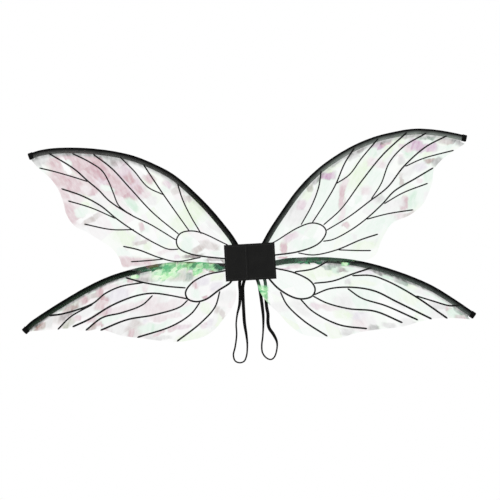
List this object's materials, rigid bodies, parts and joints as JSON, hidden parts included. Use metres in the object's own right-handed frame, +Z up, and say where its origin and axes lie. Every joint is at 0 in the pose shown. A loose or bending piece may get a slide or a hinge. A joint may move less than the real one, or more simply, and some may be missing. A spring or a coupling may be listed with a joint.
{
  "type": "costume fairy wings",
  "caption": "Costume fairy wings: clear iridescent film wings with dark veins on black wire frames, swinging from a folding black cloth back cover with elastic shoulder loops.",
  "frame": {"origin": "middle of the cover's face against the wearer's back", "axes": "+X towards the right of the outer face, +Y towards the wearer, +Z up"},
  "size_m": [0.8998, 0.019, 0.4496],
  "materials": {
    "black_cloth": "matt plain-woven polyester",
    "hook_and_loop": "hook and loop tape",
    "black_thread": "spun sewing thread",
    "black_elastic": "ribbed flat elastic",
    "core_board": "matt stiff board",
    "rivet_steel": "nickel plated",
    "nylon": "natural nylon",
    "spring_steel": "drawn steel wire",
    "black_sleeve": "semi-gloss soft plastic",
    "black_end_cap": "matt soft plastic",
    "pearl_film": "clear iridescent film with printed dark veins"
  },
  "bodies": {
    "spine": {"back_band": "black_cloth", "closing_flap": "black_cloth", "under_flap": "black_cloth", "hook_tape": "hook_and_loop", "loop_tape": "hook_and_loop", "left_strap": "black_elastic", "right_strap": "black_elastic", "left_upper_bar_tack": "black_thread", "left_lower_bar_tack": "black_thread", "right_upper_bar_tack": "black_thread", "right_lower_bar_tack": "black_thread"},
    "left_half": {"left_front_cloth": "black_cloth", "left_back_cloth": "black_cloth", "left_core_board": "core_board", "upper_left_rivet": "rivet_steel", "upper_left_washer": "nylon", "lower_left_rivet": "rivet_steel", "lower_left_washer": "nylon"},
    "upper_left_wing": {"upper_left_film": "pearl_film", "upper_left_sleeve": "black_sleeve", "upper_left_wire": "spring_steel", "upper_left_end_cap": "black_end_cap"},
    "lower_left_wing": {"lower_left_film": "pearl_film", "lower_left_sleeve": "black_sleeve", "lower_left_wire": "spring_steel", "lower_left_end_cap": "black_end_cap"},
    "right_half": {"right_front_cloth": "black_cloth", "right_back_cloth": "black_cloth", "right_core_board": "core_board", "upper_right_rivet": "rivet_steel", "upper_right_washer": "nylon", "lower_right_rivet": "rivet_steel", "lower_right_washer": "nylon"},
    "upper_right_wing": {"upper_right_film": "pearl_film", "upper_right_sleeve": "black_sleeve", "upper_right_wire": "spring_steel", "upper_right_end_cap": "black_end_cap"},
    "lower_right_wing": {"lower_right_film": "pearl_film", "lower_right_sleeve": "black_sleeve", "lower_right_wire": "spring_steel", "lower_right_end_cap": "black_end_cap"}
  },
  "joints": [
    {"name": "left_fold", "type": "hinge", "parent": "spine", "child": "left_half", "pos_m": [-0.0142, -0.0128, 0], "axis": [0, 0, 1], "range_deg": [0, 85]},
    {"name": "upper_left_swing", "type": "hinge", "parent": "left_half", "child": "upper_left_wing", "pos_m": [-0.02, -0.0092, 0.02], "axis": [0, 1, 0], "range_deg": [-30, 25]},
    {"name": "lower_left_swing", "type": "hinge", "parent": "left_half", "child": "lower_left_wing", "pos_m": [-0.02, -0.0031, -0.008], "axis": [0, 1, 0], "range_deg": [-12, 25]},
    {"name": "right_fold", "type": "hinge", "parent": "spine", "child": "right_half", "pos_m": [0.0142, -0.0128, 0], "axis": [0, 0, -1], "range_deg": [0, 85]},
    {"name": "upper_right_swing", "type": "hinge", "parent": "right_half", "child": "upper_right_wing", "pos_m": [0.02, -0.0092, 0.02], "axis": [0, -1, 0], "range_deg": [-30, 25]},
    {"name": "lower_right_swing", "type": "hinge", "parent": "right_half", "child": "lower_right_wing", "pos_m": [0.02, -0.0031, -0.008], "axis": [0, -1, 0], "range_deg": [-12, 25]}
  ]
}
